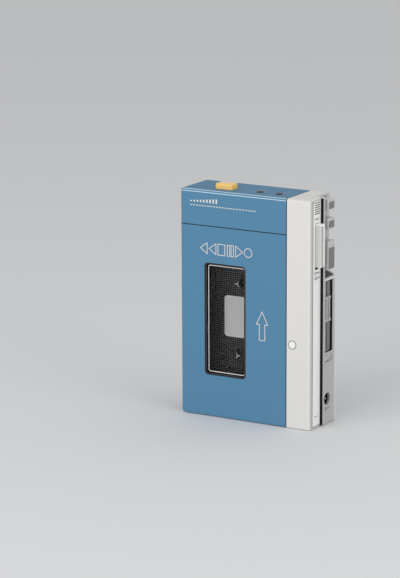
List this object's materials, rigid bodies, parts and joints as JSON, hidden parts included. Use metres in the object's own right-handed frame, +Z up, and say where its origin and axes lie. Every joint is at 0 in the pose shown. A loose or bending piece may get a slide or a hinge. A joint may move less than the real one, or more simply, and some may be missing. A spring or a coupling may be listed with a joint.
{
  "type": "cassette player",
  "caption": "Upright pocket cassette player with a hinged windowed door, side keys, twin volume sliders, talk button and two phone jacks.",
  "frame": {"origin": "centre of the case's base, on the surface it stands on", "axes": "+Z up along the case's height, +X to the key side, +Y to the back; the door faces -Y"},
  "size_m": [0.0894, 0.0296, 0.1367],
  "materials": {
    "blue_case": "satin blue enamel",
    "silver_case": "matt silver paint",
    "side_grey": "satin grey paint",
    "key_grey": "satin grey plastic",
    "key_silver": "satin silver plastic",
    "talk_yellow": "smooth amber plastic",
    "black_plastic": "fine matt black",
    "black_gloss": "smooth black",
    "clear_window": "clear acrylic",
    "steel": "brushed steel",
    "bright_steel": "ground bright steel",
    "brass": "turned brass",
    "rubber": "matt rubber",
    "ivory_plastic": "acetal plastic",
    "board_green": "solder resist",
    "grey_plate": "satin grey paint",
    "lens_white": "milky lens",
    "diode_red": "clear red resin"
  },
  "bodies": {
    "case": {"rear_case": "blue_case", "top_cover": "blue_case", "silver_shell": "silver_case", "side_plate": "silver_case", "trim_strip": "black_plastic", "control_block": "side_grey", "hinge_pin": "bright_steel", "door_spring": "steel", "battery_box": "black_plastic", "battery_contacts": "bright_steel", "case_screws": "bright_steel", "talk_switch": "black_plastic", "phone_jack_left": "black_plastic", "phone_jack_right": "black_plastic", "jack_rings": "bright_steel", "key_springs": "steel", "stop_spring": "steel", "slide_resistors": "steel", "power_jack": "black_plastic", "power_pin": "bright_steel", "microphone": "steel", "lamp_lens": "lens_white", "lamp_diode": "diode_red", "chassis_plate": "steel", "deck_floor": "black_plastic", "deck_plate": "grey_plate", "guide_pins": "bright_steel", "spindle_bushes": "brass", "capstan_bearing": "brass", "flywheel_bracket": "steel", "motor": "steel", "motor_mount": "steel", "drive_belt": "rubber", "circuit_board": "board_green"},
    "door": {"door": "blue_case", "door_window": "clear_window", "window_frame": "black_gloss", "cassette_springs": "steel", "door_catch": "steel"},
    "latch": {"door_latch": "steel"},
    "battery_lid": {"battery_lid": "blue_case"},
    "talk_button": {"talk_button": "talk_yellow"},
    "stop_key": {"stop_key": "key_silver"},
    "play_key": {"play_key": "key_grey"},
    "forward_key": {"forward_key": "key_grey"},
    "rewind_key": {"rewind_key": "key_grey"},
    "volume_left": {"volume_knob_left": "key_silver"},
    "volume_right": {"volume_knob_right": "key_silver"},
    "supply_reel": {"supply_spindle": "black_plastic", "supply_disc": "ivory_plastic"},
    "takeup_reel": {"takeup_spindle": "black_plastic", "takeup_disc": "ivory_plastic"},
    "idler": {"idler_wheel": "ivory_plastic", "idler_tyre": "rubber"},
    "flywheel": {"flywheel": "brass", "capstan": "bright_steel"},
    "rotor": {"motor_pulley": "brass"},
    "head": {"head_slide": "steel", "playback_head": "bright_steel"},
    "roller": {"pinch_roller": "rubber"}
  },
  "joints": [
    {"name": "door_hinge", "type": "hinge", "parent": "case", "child": "door", "pos_m": [-0.04085, -0.00575, 0.057], "axis": [0, 0, -1], "range_deg": [0, 85]},
    {"name": "latch_slide", "type": "slide", "parent": "case", "child": "latch", "axis": [0, 1, 0], "range_m": [0, 0.0015]},
    {"name": "battery_lid_off", "type": "slide", "parent": "case", "child": "battery_lid", "axis": [0, 1, 0], "range_m": [0, 0.025]},
    {"name": "talk_press", "type": "slide", "parent": "case", "child": "talk_button", "axis": [0, 0, -1], "range_m": [0, 0.0015], "stiffness_N_per_m": 400, "springref_m": -0.0005},
    {"name": "stop_press", "type": "slide", "parent": "case", "child": "stop_key", "axis": [-1, 0, 0], "range_m": [0, 0.003], "stiffness_N_per_m": 300, "springref_m": -0.0005, "deforming": ["stop_spring"]},
    {"name": "play_press", "type": "slide", "parent": "case", "child": "play_key", "axis": [-1, 0, 0], "range_m": [0, 0.003], "stiffness_N_per_m": 300, "springref_m": -0.0005, "deforming": ["key_springs"]},
    {"name": "forward_press", "type": "slide", "parent": "case", "child": "forward_key", "axis": [-1, 0, 0], "range_m": [0, 0.003], "stiffness_N_per_m": 300, "springref_m": -0.0005},
    {"name": "rewind_press", "type": "slide", "parent": "case", "child": "rewind_key", "axis": [-1, 0, 0], "range_m": [0, 0.003], "stiffness_N_per_m": 300, "springref_m": -0.0005},
    {"name": "volume_left_slide", "type": "slide", "parent": "case", "child": "volume_left", "axis": [0, 0, 1], "range_m": [-0.0175, 0.009]},
    {"name": "volume_right_slide", "type": "slide", "parent": "case", "child": "volume_right", "axis": [0, 0, 1], "range_m": [-0.0175, 0.009]},
    {"name": "supply_spin", "type": "hinge", "parent": "case", "child": "supply_reel", "pos_m": [-0.00945, 0.00525, 0.03605], "axis": [0, -1, 0], "continuous": true},
    {"name": "takeup_spin", "type": "hinge", "parent": "case", "child": "takeup_reel", "pos_m": [-0.00945, 0.00525, 0.07855], "axis": [0, -1, 0], "continuous": true},
    {"name": "idler_spin", "type": "hinge", "parent": "case", "child": "idler", "pos_m": [0.0044, 0.00525, 0.08398], "axis": [0, -1, 0], "continuous": true},
    {"name": "flywheel_spin", "type": "hinge", "parent": "case", "child": "flywheel", "pos_m": [0.02105, 0.00525, 0.0905], "axis": [0, -1, 0], "continuous": true},
    {"name": "motor_spin", "type": "hinge", "parent": "case", "child": "rotor", "pos_m": [0.01655, 0.00325, 0.024], "axis": [0, -1, 0], "continuous": true},
    {"name": "head_advance", "type": "slide", "parent": "case", "child": "head", "axis": [-1, 0, 0], "range_m": [0, 0.003]},
    {"name": "roller_spin", "type": "hinge", "parent": "head", "child": "roller", "pos_m": [0.02915, -0.00675, 0.0905], "axis": [0, -1, 0], "continuous": true}
  ],
  "couplings": [
    {"joint": "latch_slide", "follows": "stop_press", "ratio": 0.5},
    {"joint": "head_advance", "follows": "play_press", "ratio": 1},
    {"joint": "takeup_spin", "follows": "flywheel_spin", "ratio": 1.3158},
    {"joint": "idler_spin", "follows": "flywheel_spin", "ratio": -2.368},
    {"joint": "motor_spin", "follows": "flywheel_spin", "ratio": 3.2812},
    {"joint": "roller_spin", "follows": "flywheel_spin", "ratio": -0.25}
  ]
}
